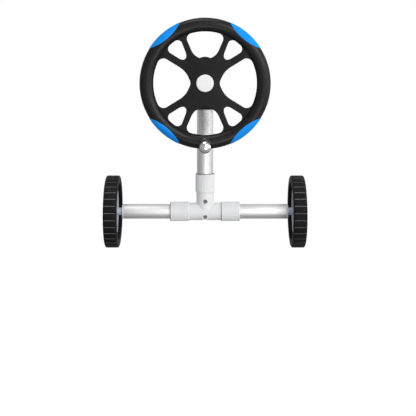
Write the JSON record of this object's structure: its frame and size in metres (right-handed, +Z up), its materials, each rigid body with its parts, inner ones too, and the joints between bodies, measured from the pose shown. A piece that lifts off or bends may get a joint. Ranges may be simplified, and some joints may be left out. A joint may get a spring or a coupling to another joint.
{
  "type": "cover reel",
  "caption": "Telescopic pool cover reel: aluminium tube on two tee stands, cranked by a lens-gripped black handwheel with a chrome-tipped knob; lugged wheels at one end.",
  "frame": {"origin": "centre of the underside of the bounding box, on the ground midway along the drawn-out reel", "axes": "+Y along the reel away from the handwheel, +X across the stands to the right of someone facing the handwheel, +Z up"},
  "size_m": [0.558, 3.804, 0.637],
  "materials": {
    "wheel_black": "matte moulded",
    "grip_blue": "satin soft grip",
    "badge_white": "gloss",
    "knob_grey": "gloss",
    "knob_chrome": "polished",
    "tube_aluminium": "satin anodised",
    "fitting_white": "satin moulded",
    "housing_black": "satin moulded",
    "fastener_steel": "satin",
    "bush_acetal": "satin",
    "tyre_black": "matte",
    "disc_grey": "satin moulded",
    "foot_rubber": "matte"
  },
  "bodies": {
    "near_stand": {"near_housing": "housing_black", "near_outer_bush": "bush_acetal", "near_reel_bush": "bush_acetal", "near_housing_screws": "fastener_steel", "near_upright": "tube_aluminium", "near_tee": "fitting_white", "near_tee_screws": "fastener_steel", "near_left_collar": "fitting_white", "near_right_collar": "fitting_white", "near_top_collar": "fitting_white", "near_left_crossbar": "tube_aluminium", "near_right_crossbar": "tube_aluminium", "near_left_plug": "fitting_white", "near_right_plug": "fitting_white", "near_left_axle_bolt": "fastener_steel", "near_right_axle_bolt": "fastener_steel", "near_left_washer": "fastener_steel", "near_right_washer": "fastener_steel"},
    "wheel_left": {"left_tyre": "tyre_black", "left_wheel_disc": "disc_grey", "left_wheel_bush": "bush_acetal"},
    "wheel_right": {"right_tyre": "tyre_black", "right_wheel_disc": "disc_grey", "right_wheel_bush": "bush_acetal"},
    "drive_reel": {"handwheel": "wheel_black", "badge": "badge_white", "hub_bolt": "fastener_steel", "drive_shaft": "fastener_steel", "knob_spindle": "fastener_steel", "knob_nut": "fastener_steel", "drive_plug": "housing_black", "outer_tube": "tube_aluminium", "tube_collar": "housing_black", "upper_right_grip": "grip_blue", "upper_left_grip": "grip_blue", "lower_left_grip": "grip_blue", "lower_right_grip": "grip_blue"},
    "crank_knob": {"knob_sleeve": "knob_grey", "knob_cap": "knob_chrome"},
    "far_stand": {"far_housing": "housing_black", "far_outer_bush": "bush_acetal", "far_reel_bush": "bush_acetal", "far_housing_screws": "fastener_steel", "far_upright": "tube_aluminium", "far_tee": "fitting_white", "far_tee_screws": "fastener_steel", "far_left_collar": "fitting_white", "far_right_collar": "fitting_white", "far_top_collar": "fitting_white", "far_left_crossbar": "tube_aluminium", "far_right_crossbar": "tube_aluminium", "far_end_cap": "housing_black", "far_left_foot": "foot_rubber", "far_right_foot": "foot_rubber"},
    "far_reel": {"far_journal": "fastener_steel", "far_plug": "housing_black", "inner_tube": "tube_aluminium"}
  },
  "joints": [
    {"name": "left_wheel_spin", "type": "hinge", "parent": "near_stand", "child": "wheel_left", "pos_m": [-0.2585, -1.642, 0.1], "axis": [1, 0, 0], "continuous": true},
    {"name": "right_wheel_spin", "type": "hinge", "parent": "near_stand", "child": "wheel_right", "pos_m": [0.2585, -1.642, 0.1], "axis": [1, 0, 0], "continuous": true},
    {"name": "reel_spin", "type": "hinge", "parent": "near_stand", "child": "drive_reel", "pos_m": [0, -1.642, 0.462], "axis": [0, 1, 0], "continuous": true},
    {"name": "knob_spin", "type": "hinge", "parent": "drive_reel", "child": "crank_knob", "pos_m": [0, -1.822, 0.302], "axis": [0, 1, 0], "continuous": true},
    {"name": "reel_length", "type": "slide", "parent": "near_stand", "child": "far_stand", "axis": [0, 1, 0], "range_m": [-1.45, 0]},
    {"name": "far_reel_spin", "type": "hinge", "parent": "far_stand", "child": "far_reel", "pos_m": [0, 1.858, 0.462], "axis": [0, 1, 0], "continuous": true}
  ],
  "couplings": [
    {"joint": "far_reel_spin", "follows": "reel_spin", "ratio": 1}
  ]
}
